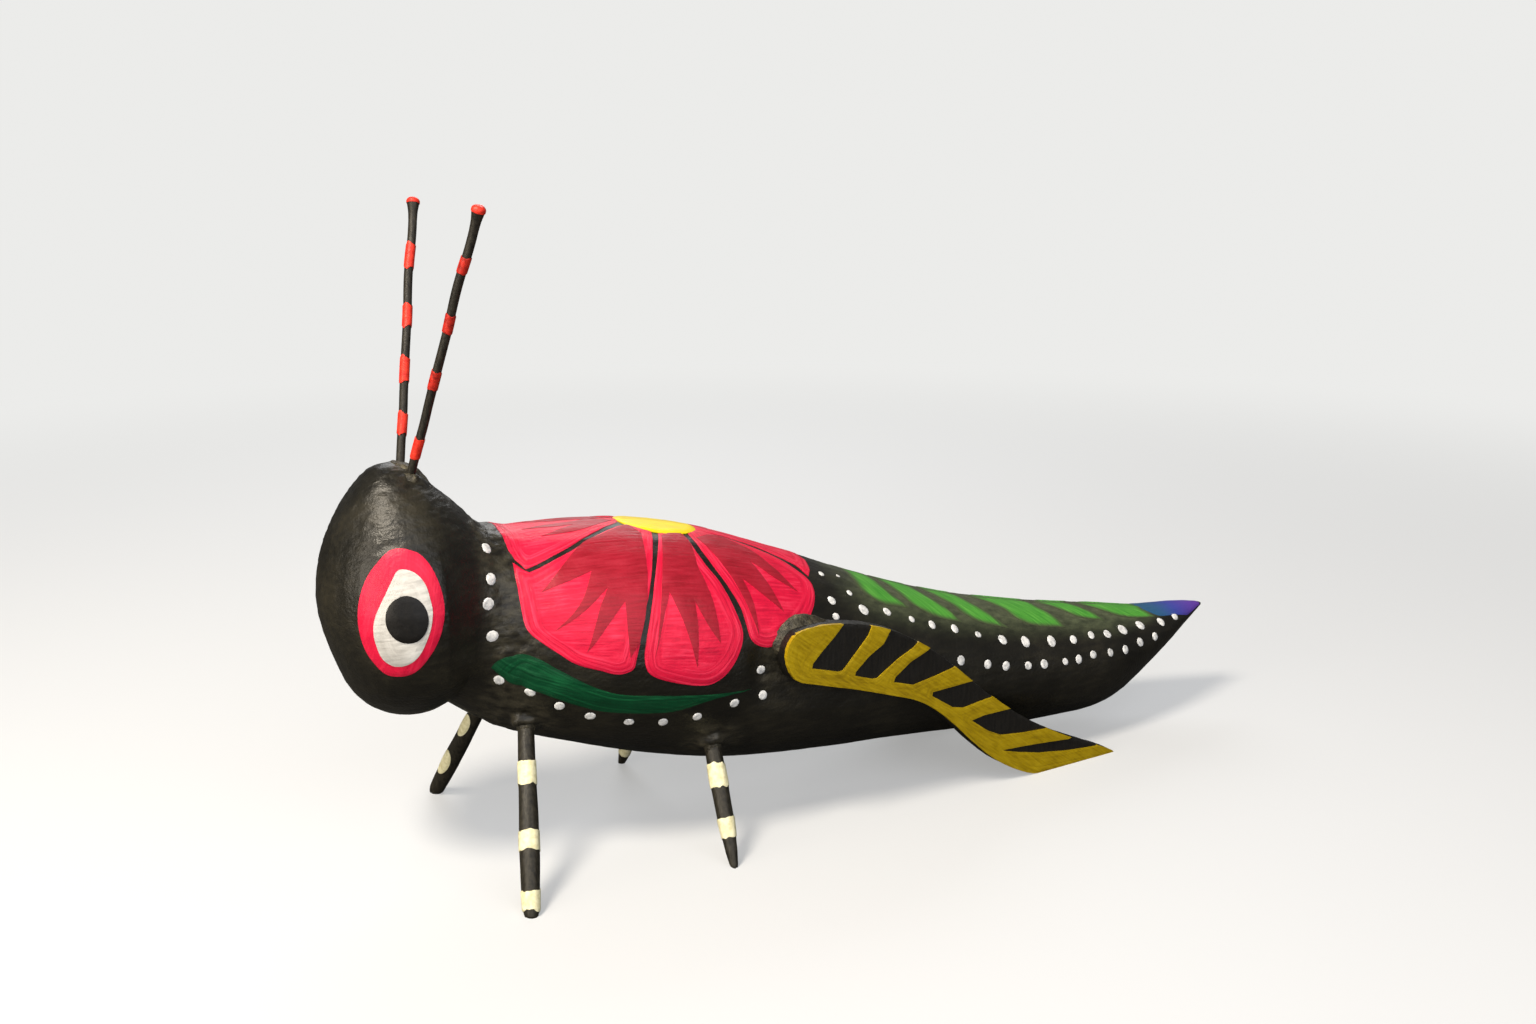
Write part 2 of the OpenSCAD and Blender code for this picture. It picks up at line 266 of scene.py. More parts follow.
def painted_sawdust_paste():
    """Sawdust and glue smeared on with a finger and painted over: crumbly, and lighter grey-brown on the
    crests of its lumps, which is partly the dry paste's own colour and partly a painted highlight.
    """
    finish = new_finish("painted_sawdust_paste")
    lumps = surface_noise(finish, 1.5, 4.0)
    grit = surface_noise(finish, 0.45)
    shade = broad_and_fine(finish, lumps, grit, 0.6)
    # lighter where the lumps stand up: the paste's own grey-brown, with a painted highlight on the crests
    colour = add_node(finish, "ShaderNodeValToRGB", Fac=shade,
                      stops=((0.3, "#15130E"), (0.52, "#3B372B"), (0.7, "#6E6753")))
    marks = add_node(finish, "ShaderNodeMath", PLUS_SHARE, n0=grit, n1=0.7, n2=lumps)
    return coated(finish, colour, 0.5, marks, 0.3, 0.9, 0.4)


def brushed_acrylic(name, dark, base, light, bristle_mm=0.55, streak_mm=7.0, ridges=1.0, gloss=0.35,
                    rough=0.42):
    """Acrylic put on with a flat brush: streaks a bristle apart, and raised ridges beside the rim,
    where the brush went round the shape. Both are coarser than real bristles, so that they show."""
    finish = new_finish(name)
    streaks = brush_noise(finish, bristle_mm, streak_mm)
    uneven = broad_and_fine(finish, streaks, surface_noise(finish, 5.0, 2.0), 0.62)
    beside_rim = add_node(finish, "ShaderNodeMapRange", SMOOTH, Value=rim_distance(finish),
                          From_Min=2.6, From_Max=4.2, To_Min=ridges, To_Max=0.0)
    mark = add_node(finish, "ShaderNodeMix", {"data_type": "FLOAT"}, n0=beside_rim, n2=uneven,
                    n3=rim_noise(finish, 0.55, 9.0))
    # dark in a thin streak where the black shows through, and lighter on a ridge: the lighter ridge is a
    # painted highlight
    colour = add_node(finish, "ShaderNodeValToRGB", Fac=mark, stops=((0.3, dark), (0.5, base), (0.72, light)))
    roughness = add_node(finish, "ShaderNodeMapRange", SMOOTH, Value=streaks, From_Min=0.3, From_Max=0.7,
                         To_Min=rough - 0.06, To_Max=rough + 0.1)
    marks = add_node(finish, "ShaderNodeMath", PLUS_SHARE, n0=surface_noise(finish, 0.9), n1=0.5, n2=mark)
    return coated(finish, colour, roughness, marks, 0.22, 0.75, gloss)


def dry_brushed_leaf_green():
    """Leaf green dragged thinly over black: full colour inside a stroke, and dark olive where it left off."""
    finish = new_finish("dry_brushed_leaf_green")
    streaks = brush_noise(finish, 0.6, 9.0)
    green = add_node(finish, "ShaderNodeValToRGB", Fac=streaks,
                     stops=((0.3, "#3A8A2E"), (0.55, "#55A53D"), (0.75, "#72BB52")))
    broken_rim = add_node(finish, "ShaderNodeMath", PLUS_SHARE, n0=streaks, n1=1.6, n2=rim_distance(finish))
    covers = add_node(finish, "ShaderNodeMapRange", SMOOTH, Value=broken_rim, From_Min=0.8, From_Max=3.3)
    colour = add_node(finish, "ShaderNodeMix", COLOURS, MIXED_COLOUR, n0=covers, n6=linear("#4A533A"),
                      n7=green)
    return coated(finish, colour, 0.46, streaks, 0.15, 0.7, 0.3)


def blended_violet():
    """Blue worked into purple while wet: the colour slides from blue at the wing to purple at the point."""
    finish = new_finish("blended_violet")
    brush = add_node(finish, "ShaderNodeUVMap", {"uv_map": "brush"})
    along = add_node(finish, "ShaderNodeSeparateXYZ", out="Y", Vector=brush)
    streaks = brush_noise(finish, 0.6, 6.0)
    along = add_node(finish, "ShaderNodeMath", PLUS_SHARE, n0=streaks, n1=5.0, n2=along)
    slide = add_node(finish, "ShaderNodeMapRange", SMOOTH, Value=along, From_Min=227, From_Max=249)
    colour = add_node(finish, "ShaderNodeValToRGB", Fac=slide,
                      stops=((0.0, "#2C5E86"), (0.35, "#3F49A8"), (1.0, "#6F42B6")))
    return coated(finish, colour, 0.4, streaks, 0.15, 0.7, 0.35)


def dabbed_acrylic(name, dark, light, gloss=0.4, depth_mm=0.16):
    """Thick acrylic set down in one dab: a slightly uneven film, thinner and darker at places."""
    finish = new_finish(name)
    film = surface_noise(finish, 1.1)
    colour = add_node(finish, "ShaderNodeValToRGB", Fac=film, stops=((0.3, dark), (0.6, light)))
    return coated(finish, colour, 0.45, film, depth_mm, 0.7, gloss)


def split_pine():
    """The hidden pins are bare split wood, pale and dry, with the grain along the pin."""
    finish = new_finish("split_pine")
    grain = surface_noise(finish, 0.8, 3.0, (8, 1, 1))
    colour = add_node(finish, "ShaderNodeValToRGB", Fac=grain, stops=((0.3, "#B98F5A"), (0.7, "#DDBB86")))
    return coated(finish, colour, 0.75, grain, 0.1, 0.6)


# ---------------------------------------------------------------- wood from the frame's solids

def made_object(name, bm):
    """An object in the scene with this mesh, at the origin."""
    mesh = bpy.data.meshes.new(name)
    bm.to_mesh(mesh)
    bm.free()
    made = bpy.data.objects.new(name, mesh)
    bpy.context.scene.collection.objects.link(made)
    return made


def join_into(target, source):
    """Adds one mesh to another, and frees it."""
    mesh = bpy.data.meshes.new("part")
    source.to_mesh(mesh)
    source.free()
    target.from_mesh(mesh)
    bpy.data.meshes.remove(mesh)


def merged_copy(*nodes):
    """One mesh of these nodes, with the loose triangles of each joined."""
    bm = bmesh.new()
    for node in nodes:
        bm.from_mesh(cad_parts[node].data)
    bmesh.ops.remove_doubles(bm, verts=bm.verts, dist=0.004 * MM)
    return bm


def cut_away(bm, place, outward, fill=True):
    """Cuts everything beyond a plane away, and closes the cut."""
    everything = bm.verts[:] + bm.edges[:] + bm.faces[:]
    cut = bmesh.ops.bisect_plane(bm, geom=everything, dist=0.0005 * MM, plane_co=place, plane_no=outward,
                                 clear_outer=True)
    if fill:
        edges = [e for e in cut["geom_cut"] if isinstance(e, bmesh.types.BMEdge)]
        bmesh.ops.holes_fill(bm, edges=edges, sides=0)


def rubbed_down(bm, voxel_mm, passes):
    """The solids joined into one skin and rubbed smooth.
    The passes go in pairs, one in and one out, which takes the facets off and keeps the size."""
    blank = made_object("blank", bm)
    remesh = blank.modifiers.new("skin", "REMESH")
    remesh.mode = "VOXEL"
    remesh.voxel_size = voxel_mm * MM
    for _ in range(passes):
        for factor in (0.6, -0.63):
            rub = blank.modifiers.new("rub", "SMOOTH")
            rub.factor = factor
    graph = bpy.context.evaluated_depsgraph_get()
    smooth = bmesh.new()
    smooth.from_mesh(blank.evaluated_get(graph).to_mesh())
    mesh = blank.data
    bpy.data.objects.remove(blank)
    bpy.data.meshes.remove(mesh)
    smooth.normal_update()
    return smooth


def new_piece(name, bm, finish, stands_for=(), crease=55):
    """A finished piece that rides on the figure's one body. Feet are worn flat where they stand."""
    for v in bm.verts:
        v.co.z = max(v.co.z, 0)
    piece = made_object(name, bm)
    piece.data.shade_smooth()
    piece.data.set_sharp_from_angle(angle=math.radians(crease))
    piece.data.materials.append(finish)
    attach(piece, "root")
    if stands_for:
        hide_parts(*stands_for)


def smooth_step(value, start, end):
    """0 before start, 1 after end, and smooth between."""
    t = min(1.0, max(0.0, (value - start) / (end - start)))
    return t * t * (3 - 2 * t)


class Rod:
    """The straight axis of a peg or feeler, worked out from its node.
    Its root is where it leaves the wood, past the tenon that is hidden in its hole."""

    def __init__(self, node, tenon_mm):
        self.node = node
        points = np.array([v.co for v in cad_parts[node].data.vertices])
        centre = points.mean(0)
        direction = np.linalg.svd(points - centre, full_matrices=False)[2][0]
        spread = (points - centre) @ direction
        ends = [Vector(centre + direction * s) for s in (spread.min(), spread.max())]
        body_middle = metres(50, 0, 55)
        ends.sort(key=lambda end: (end - body_middle).length)
        self.root = ends[0] + (ends[1] - ends[0]).normalized() * tenon_mm * MM
        self.direction = (ends[1] - self.root).normalized()
        self.outward = self.direction.orthogonal().normalized()
        self.root_mm = millimetres(self.root)

    def along(self, point):
        """Millimetres from where the rod leaves the wood."""
        return (point - self.root).dot(self.direction) / MM

    def at(self, along_mm):
        """The place on the axis, so many millimetres from where the rod leaves the wood."""
        return self.root + self.direction * along_mm * MM

    def stub(self, length_mm):
        """The tenon and the first of the rod, closed at its cut."""
        bm = merged_copy(self.node)
        cut_away(bm, self.at(length_mm), self.direction)
        return bm


LEG_TENON = 9.0
FEELER_TENON = 8.0
LEGS = {name: Rod(name, LEG_TENON)
        for name in ("left_front_leg", "right_front_leg", "left_middle_leg", "right_middle_leg")}
FEELERS = {name: Rod(name, FEELER_TENON) for name in ("left_antenna", "right_antenna")}
FEELER_MIDDLE = (FEELERS["left_antenna"].root_mm + FEELERS["right_antenna"].root_mm) / 2

SKIN_VOXEL = 0.64
SKIN_PASSES = 14
STUB = 0.6  # how much of each rod is in the skin, so that the paste runs up to it
NECK_FROM, NECK_TO = 34.5, 37.5
SKIN_NODES = ("head", "body", "neck_filler", "neck_dowel", "antenna_filler",
              "left_hind_leg_dowel", "right_hind_leg_dowel",
              "left_front_leg_filler", "right_front_leg_filler",
              "left_middle_leg_filler", "right_middle_leg_filler")


def paste_at(p):
    """How much paste shows at a place, from 0 to 1: over the neck seam and round every root."""
    ragged = 2.2 * noise.noise(p / 6.0)
    neck = smooth_step(p.x + ragged, 29, 33) * (1 - smooth_step(p.x + ragged, 39, 45))
    amount = neck * smooth_step(p.z, 22, 34)
    for rod in LEGS.values():
        amount = max(amount, 1 - smooth_step((p - rod.root_mm).length + ragged, 4.5, 9.5))
    for rod in FEELERS.values():
        amount = max(amount, 1 - smooth_step((p - rod.root_mm).length, 2.0, 6.5))
    front_of_hind = 1 - smooth_step(abs(p.x - 99) + ragged, 5, 12)
    beside_hind = smooth_step(abs(p.y), 22, 25) * (1 - smooth_step(abs(p.z - 45) + ragged, 5, 10))
    return max(amount, front_of_hind * beside_hind)


def carved_height(p, paste):
    """Millimetres that the knife and the brush left standing at a place."""
    broad = 0.16 * noise.noise(p / 14.0)
    scallop = 0.07 * (noise.voronoi(Vector((p.x / 7.0, p.y / 7.0, p.z / 5.0)))[0][0] - 0.4)
    brow = smooth_step(p.z, 66, 74) * (1 - smooth_step(p.x, 26, 34))
    crinkled = Vector((p.x / 3.2, p.y / 3.2, p.z / 1.5))
    crinkle = (0.03 + 0.12 * brow) * (1 - 2 * abs(noise.noise(crinkled)))
    lumps = paste * (0.34 * noise.noise(p / 2.6) + 0.22 * noise.noise(p / 1.3))
    return broad + scallop + crinkle + lumps


def carve(bm):
    """Gives the skin its marks, and notes where the paste is."""
    paste_layer = bm.verts.layers.float.new("paste")
    moves = []
    for v in bm.verts:
        p = millimetres(v.co)
        paste = paste_at(p)
        v[paste_layer] = paste
        moves.append(v.normal * carved_height(p, paste) * MM)
    for v, move in zip(bm.verts, moves):
        v.co += move
    bm.normal_update()


def struck(tree, start, direction):
    """Where a straight line first meets the wood, and which way the wood faces there."""
    place, normal, _, _ = tree.ray_cast(start, direction)
    return place, normal


DOWN = Vector((0, 0, -1))
CROWN_Z = 91.3  # the top of the paste between the feelers
CROWN_R = 6.7  # how far it reaches over the head
HIND_SEAT_X = 88.0  # the front edge of the flats that the hind legs sit on
BARE_HEAD = merged_copy("head")
HEAD_TREE = BVHTree.FromBMesh(BARE_HEAD)
BARE_HEAD.free()


def pressed_to_crown(v):
    """Presses the paste between the feelers down, so that it carries on the round top of the head.
    The head is fuller before the feelers and falls away behind them."""
    p = millimetres(v.co)
    out = Vector((p.x - FEELER_MIDDLE.x, p.y))
    if p.z < 76 or out.length > 3 * CROWN_R:
        return
    edge = out.normalized() * max(CROWN_R, out.length)
    wood = struck(HEAD_TREE, metres(FEELER_MIDDLE.x + edge.x, edge.y, 110), DOWN)[0]
    if wood:
        share = min(1, out.length / CROWN_R) ** 2.4
        v.co.z = min(v.co.z, (CROWN_Z * MM) * (1 - share) + wood.z * share)
        lean = p.x - FEELER_MIDDLE.x + 1
        v.co.z -= 0.45 * lean * math.exp(-(lean * lean + p.y * p.y) / 50) * MM


NAPE_X = 31.5
NAPE_RISE = 1.9
NAPE_LENGTH, NAPE_WIDTH = 5.5, 9  # half of each, to where the rise has fallen to about a third


def fill_nape(v):
    """Behind the head the paste runs down to the back in one nearly straight slope."""
    p = millimetres(v.co)
    if p.z > 60:
        rise = NAPE_RISE * math.exp(-((p.x - NAPE_X) / NAPE_LENGTH) ** 2 - (p.y / NAPE_WIDTH) ** 2)
        v.co.z += rise * MM


def eased(bm, chosen, passes):
    """Fills a crease the way a smeared coat does."""
    verts = [v for v in bm.verts if chosen(millimetres(v.co))]
    for _ in range(passes):
        bmesh.ops.smooth_vert(bm, verts=verts, factor=0.5, use_axis_x=True, use_axis_y=True, use_axis_z=True)


def wooden_skin():
    """Head, neck and body as one worn surface."""
    bm = merged_copy(*SKIN_NODES)
    for rod in [*LEGS.values(), *FEELERS.values()]:
        join_into(bm, rod.stub(STUB))
    skin = rubbed_down(bm, SKIN_VOXEL, SKIN_PASSES)
    for v in skin.verts:
        pressed_to_crown(v)
        fill_nape(v)
    eased(skin, lambda p: abs(p.x - FEELER_MIDDLE.x) < 9 and p.z > 85, 14)  # round the feelers
    eased(skin, lambda p: 22 < p.x < 38 and p.z > 46, 150)  # behind the head
    eased(skin, lambda p: abs(p.x - HIND_SEAT_X) < 5 and abs(p.y) > 15, 30)  # at the hind legs' seats
    skin.normal_update()
    carve(skin)
    drop_scraps(skin)
    return skin


def drop_scraps(bm):
    """Keeps the largest connected piece, and drops any scrap that the remesh left loose."""
    seen = set()
    parts = []
    for start in bm.verts:
        if start in seen:
            continue
        part = [start]
        seen.add(start)
        for v in part:
            for e in v.link_edges:
                other = e.other_vert(v)
                if other not in seen:
                    seen.add(other)
                    part.append(other)
        parts.append(part)
    parts.sort(key=len)
    for part in parts[:-1]:
        bmesh.ops.delete(bm, geom=part, context="VERTS")


SKIN = wooden_skin()
SKIN_TREE = BVHTree.FromBMesh(SKIN)


# ---------------------------------------------------------------- places on the body

MIDDLE_STEP = 2.0
MIDDLE_FROM, MIDDLE_TO = 28.0, 245.0


def section_middles():
    """The height of the middle of the body, every MIDDLE_STEP millimetres from the nape to the tail."""
    heights = []
    for i in range(int((MIDDLE_TO - MIDDLE_FROM) / MIDDLE_STEP) + 1):
        x = MIDDLE_FROM + i * MIDDLE_STEP
        top = struck(SKIN_TREE, metres(x, 0.05, 120), DOWN)[0]
        bottom = struck(SKIN_TREE, metres(x, 0.05, -20), -DOWN)[0]
        heights.append((top.z + bottom.z) / 2 / MM)
    return heights


MIDDLES = section_middles()


def middle_height(x):
    """The height of the middle of the body, x behind the face."""
    place = min(max((x - MIDDLE_FROM) / MIDDLE_STEP, 0), len(MIDDLES) - 1.001)
    index = int(place)
    return MIDDLES[index] + (place - index) * (MIDDLES[index + 1] - MIDDLES[index])


def body_surface(x, turn, side):
    """The body's surface x behind the face, turn degrees round from the spine towards one side."""
    angle = math.radians(turn) * side
    out = Vector((0, math.sin(angle), math.cos(angle)))
    centre = metres(x, 0, middle_height(x))
    return struck(SKIN_TREE, centre + out * 70 * MM, -out)


FLAT_MM = 0.47  # one degree round the body is about this many millimetres of its surface


def over_body(side):
    """Lays a flat shape round the body: u is millimetres behind the face, v is degrees times FLAT_MM."""
    def lay(u, v):
        return body_surface(u, v / FLAT_MM, side)
    return lay


def from_side(tree, side):
    """Lays a flat shape on from the side: u is millimetres behind the face, v is the height."""
    def lay(u, v):
        return struck(tree, metres(u, side * 90, v), Vector((0, -side, 0)))
    return lay


# ---------------------------------------------------------------- layers of paint

def smooth_run(points, closed=False, step=0.6):
    """The hand's smooth line through these points, without its last one."""
    line = []
    count = len(points)
    for i in range(count if closed else count - 1):
        start = points[i]
        end = points[(i + 1) % count]
        before = points[i - 1] if closed or i else start
        after = points[(i + 2) % count] if closed or i + 2 < count else end
        length = (end - start).length
        leave = (end - before).normalized() * length / 3
        arrive = (after - start).normalized() * length / 3
        pieces = max(1, round(length / step))
        line += interpolate_bezier(start, start + leave, end - arrive, end, pieces + 1)[:-1]
    return line


def outline(*strokes):
    """A closed shape. Each stroke is smooth and runs to where the next one starts, with a corner there."""
    strokes = [[Vector((u, v, 0)) for u, v in stroke] for stroke in strokes]
    if len(strokes) == 1:
        return smooth_run(strokes[0], closed=True)
    shape = []
    for stroke, following in zip(strokes, strokes[1:] + strokes[:1]):
        shape += smooth_run(stroke + following[:1])
    return shape


def round_body(*strokes):
    """An outline whose points are (millimetres behind the face, degrees from the spine)."""
    return outline(*[[(x, turn * FLAT_MM) for x, turn in stroke] for stroke in strokes])


def mirrored(points):
    """The same points on the other side of the spine, in the opposite order."""
    return [(x, -turn) for x, turn in reversed(points)]


def filled(shape):
    """A flat sheet of one face."""
    bm = bmesh.new()
    face = bm.faces.new([bm.verts.new(p) for p in shape])
    face.normal_update()
    if face.normal.z < 0:
        face.normal_flip()
    return bm


def cut_into_cells(bm, cell_mm):
    """Cuts a flat sheet along a grid, so that it can bend over the wood."""
    for axis, normal in enumerate((Vector((1, 0, 0)), Vector((0, 1, 0)))):
        values = [v.co[axis] for v in bm.verts]
        low, high = min(values), max(values)
        for i in range(1, math.ceil((high - low) / cell_mm)):
            everything = bm.verts[:] + bm.edges[:] + bm.faces[:]
            bmesh.ops.bisect_plane(bm, geom=everything, dist=0.001, plane_co=normal * (low + i * cell_mm),
                                   plane_no=normal)


def inside(point, corners):
    """Whether a flat point is inside a ring of corners."""
    crossings = False
    for a, b in zip(corners, corners[1:] + corners[:1]):
        if (a[1] > point.y) != (b[1] > point.y):
            if point.x < a[0] + (b[0] - a[0]) * (point.y - a[1]) / (b[1] - a[1]):
                crossings = not crossings
    return crossings


def cut_window(bm, corners):
    """Leaves a shape unpainted: the sheet is cut along its sides, and what lies inside goes."""
    for a, b in zip(corners, corners[1:] + corners[:1]):
        start, end = Vector((*a, 0)), Vector((*b, 0))
        normal = Vector((end.y - start.y, start.x - end.x, 0)).normalized()
        near = []
        for face in bm.faces:
            centre = face.calc_center_median()
            place, share = intersect_point_line(centre, start, end)
            if -0.3 < share < 1.3 and (centre - place).length < 2.5:
                near.append(face)
        geometry = list(dict.fromkeys(e for f in near for e in (f, *f.verts, *f.edges)))
        bmesh.ops.bisect_plane(bm, geom=geometry, dist=0.001, plane_co=start, plane_no=normal)
    bare = [f for f in bm.faces if inside(f.calc_center_median(), corners)]
    bmesh.ops.delete(bm, geom=bare, context="FACES")


def rim_finder(bm):
    """A search tree of points a fifth of a millimetre apart along the edge of a flat sheet."""
    points = []
    for edge in bm.edges:
        if edge.is_boundary:
            a, b = (v.co for v in edge.verts)
            pieces = max(1, math.ceil((b - a).length / 0.2))
            points += [a.lerp(b, i / pieces) for i in range(pieces)]
    tree = KDTree(len(points))
    for index, point in enumerate(points):
        tree.insert(point, index)
    tree.balance()
    return tree


def straight_brush(angle=0):
    """A brush drawn straight: angle is its turn from the length of the body, in degrees."""
    c, s = math.cos(math.radians(angle)), math.sin(math.radians(angle))
    return lambda u, v: (v * c - u * s, u * c + v * s)


def paint_layer(shape, lay, height_mm, brush=straight_brush(), cell_mm=0.85, windows=(),
                rim_share=0.45, buried_mm=0.15):
    """A closed layer of dried paint on the wood, with rim_share of its height at its rim.
    It reaches into the wood by buried_mm, so that no gap shows."""
    bm = filled(shape) if isinstance(shape, list) else shape
    cut_into_cells(bm, cell_mm)
    for corners in windows:
        cut_window(bm, corners)
    rims = rim_finder(bm)
    top = bmesh.ops.extrude_face_region(bm, geom=bm.faces[:], use_keep_orig=True)["geom"]
    for v in top:
        if isinstance(v, bmesh.types.BMVert):
            v.co.z = 1
    rim_layer = bm.verts.layers.float.new("rim")
    brush_layer = bm.loops.layers.uv.new("brush")
    for v in bm.verts:
        v[rim_layer] = rims.find(Vector((v.co.x, v.co.y, 0)))[2]
    for face in bm.faces:
        for loop in face.loops:
            loop[brush_layer].uv = brush(loop.vert.co.x, loop.vert.co.y)
    missed = []
    for v in bm.verts:
        place, normal = lay(v.co.x, v.co.y)
        if place is None:
            missed.append(v)
            continue
        edge = rim_share + (1 - rim_share) * smooth_step(v[rim_layer], 0, 0.6)
        lift = height_mm * edge if v.co.z > 0.5 else -buried_mm
        v.co = place + normal * lift * MM
    bmesh.ops.delete(bm, geom=missed, context="VERTS")
    bmesh.ops.recalc_face_normals(bm, faces=bm.faces)
    if bm.calc_volume(signed=True) < 0:
        bmesh.ops.reverse_faces(bm, faces=bm.faces[:])
    return bm


def paint(name, finish, slot, *layer, crease=40, **how):
    """A painted shape as a piece: layer and how are what paint_layer takes."""
    new_piece(name, paint_layer(*layer, **how), finish, crease=crease)


def oval(middle_u, middle_v, half_u, half_v, points):
    """The points of an oval."""
    turns = [i * math.tau / points for i in range(points)]
    return [(middle_u + half_u * math.cos(a), middle_v + half_v * math.sin(a)) for a in turns]


# ---------------------------------------------------------------- the finishes of this figure

# Brushed colours are given as the dark of a thin streak, the coat itself and a painted highlight on a ridge.
BLACK = satin_black_over_copal()
PEG_BLACK = satin_black_whittled("satin_black_on_pegs", "#0F0E0B", "#3A362C")
FEELER_BLACK = satin_black_whittled("satin_black_on_feelers", "#0F0E0C", "#37332A")
HIND_BLACK = satin_black_whittled("satin_black_on_hind_legs", "#070605", "#1D1A15", 0.45)
PASTE = painted_sawdust_paste()
PINK = brushed_acrylic("brushed_hot_pink", "#BE0D36", "#E31440", "#FA3F62")
EYE_PINK = brushed_acrylic("brushed_hot_pink_eye", "#CE143D", "#E31742", "#F23257", ridges=0.3)
CRIMSON = brushed_acrylic("brushed_crimson", "#8E1222", "#A6192E", "#B5263B", ridges=0.0)
YELLOW = brushed_acrylic("brushed_lemon_yellow", "#E6C600", "#F3DC00", "#FAE820", ridges=0.3)
DARK_GREEN = brushed_acrylic("brushed_dark_green", "#002C17", "#004225", "#14693D", 0.6, 14.0, 0.5)
LEAF_GREEN = dry_brushed_leaf_green()
VIOLET = blended_violet()
OLIVE = brushed_acrylic("brushed_olive_yellow", "#826900", "#AF9200", "#CDB012", 0.5, 5.0, 0.3, 0.4)
EYE_WHITE = brushed_acrylic("brushed_white", "#ACA9A4", "#CFCDC9", "#EDECE9", 0.8, 6.0, 0.2)
DOT_WHITE = dabbed_acrylic("dabbed_white", "#BCBEC0", "#FFFFFF", 0.3, 0.05)
CREAM = dabbed_acrylic("dabbed_cream", "#DAD3A4", "#F7F2CC")
RED = dabbed_acrylic("dabbed_red", "#C9241A", "#F03A26")
THIN_RED = dabbed_acrylic("thinly_dabbed_red", "#8E1A12", "#CE2E20")
PUPIL = dabbed_acrylic("dabbed_black", "#050404", "#0E0C0A", 0.4, 0.08)
RAW_WOOD = split_pine()


# ---------------------------------------------------------------- head, neck and body

def keep_between(low=None, high=None):
    """The part of the skin between two distances behind the face, closed at its cuts."""
    bm = SKIN.copy()
    if low is not None:
        cut_away(bm, metres(low, 0, 0), Vector((-1, 0, 0)))
    if high is not None:
        cut_away(bm, metres(high, 0, 0), Vector((1, 0, 0)))
    return bm


def haze_at(p):
    """How much thin green the dry brush left between and round the wing strokes, from 0 to 1."""
    if p.x < 112 or p.z < middle_height(p.x):
        return 0.0
    turn = math.degrees(math.atan2(abs(p.y), p.z - middle_height(p.x)))
    ragged = 3 * noise.noise(p / 7)
    across = 1 - smooth_step(turn + ragged, 32, 62)
    return across * smooth_step(p.x + ragged, 114, 132) * (1 - smooth_step(p.x, 224, 236))


def make_body():
    """The skin in three pieces: the head, the paste in the neck, and the body with its green haze."""
    new_piece("carved_head", keep_between(high=NECK_FROM), BLACK, ["head"])
    new_piece("neck_paste", keep_between(NECK_FROM, NECK_TO), BLACK, ["neck_filler"])
    bm = keep_between(low=NECK_TO)
    haze_layer = bm.verts.layers.float.new("haze")
    for v in bm.verts:
        v[haze_layer] = haze_at(millimetres(v.co))
    new_piece("carved_body", bm, BLACK, ["body"])


# ---------------------------------------------------------------- the flower, leaf, wing and tail

def front_petal():
    """The petal over the neck, with its two corners at the front."""
    side = [(66.5, 5), (58, 18), (49.5, 30)]
    front = [(41, 39), (38.8, 29), (38.6, 17), (38.4, 0)]
    other_front = [(38.6, -17), (38.8, -29)]
    return round_body(side, front + other_front, mirrored(side + front[:1]), [(68, 0)])


def rear_petal():
    """The petal towards the tail, which runs out in a point."""
    side = [(85.5, 4), (95, 8.5), (102.5, 14.5), (108.5, 23)]
    end = [(110.5, 31), (112.5, 23), (114, 10)]
    return round_body(side, end + mirrored(end[1:]), mirrored(side + end[:1]))


SIDE_PETALS = {
    "first": round_body(
        [(69, 6.5), (59, 19.5), (50.5, 31.5)],
        [(41.5, 41)],
        [(38.6, 35), (38.4, 43), (38.4, 57), (39, 75), (41.5, 82), (44.5, 87), (48, 92), (53, 94), (57, 95),
         (60, 92), (60.7, 88), (62, 78), (63.5, 67), (66, 54), (69.5, 35), (73, 15)],
        [(73, 8)]),
    "second": round_body(
        [(75.2, 9), (74.5, 16), (68, 48), (65.5, 63), (63.3, 78), (62.7, 86), (63.2, 92), (65, 95),
         (68.5, 96.5), (74.5, 97), (78.5, 95), (82.5, 88), (85.5, 78), (86.5, 70), (85.5, 59), (84, 48),
         (81.6, 35), (80.9, 20)],
        [(81, 8)]),
    "third": round_body(
        [(82.4, 7), (82.4, 14), (83.2, 33), (85.5, 48), (87.3, 59), (87.9, 69), (88.5, 73.5), (90.5, 76),
         (93.5, 76), (97.5, 72), (102.5, 65), (106.5, 56), (109.3, 45), (110, 36), (108, 28), (102.5, 17.5),
         (95, 11.2), (87.5, 6)],
        [(85, 3)]),
}
SPIKES = {
    "first": round_body(
        [(68.3, 8.5), (60.5, 18.5), (54.5, 26)], [(43, 53), (49, 48)], [(54.5, 43), (50.5, 60)],
        [(44.5, 75), (51, 64)], [(57, 52), (54, 64)], [(50.5, 85), (56, 69)], [(60, 59), (59.5, 73)],
        [(59.5, 86), (62, 77), (65.5, 54)], [(70, 17)]),
    "second": round_body(
        [(74.8, 18), (69, 52)], [(65, 85), (68, 66)], [(70.5, 54), (72.5, 69)], [(74.5, 88), (75.5, 70)],
        [(76, 57), (78, 68)], [(80.5, 76), (80.5, 58)], [(79.5, 40), (80.2, 14)]),
    "third": round_body(
        [(83.6, 17), (86.2, 35), (89, 57)], [(90.5, 71), (90.8, 56)], [(90, 43), (94.5, 51)],
        [(98.5, 58), (96.5, 42)], [(94.5, 30), (99, 38)], [(104.5, 45), (100, 29)], [(96.5, 17), (90, 10.5)]),
}
FRONT_SPIKES = round_body([(66, 2.5), (57, 13)], [(47, 17), (54, 9)], [(56, 6.5), (49, 8)],
                          [(44, 7), (52, 3)], [(57, 2), (60, 0)])
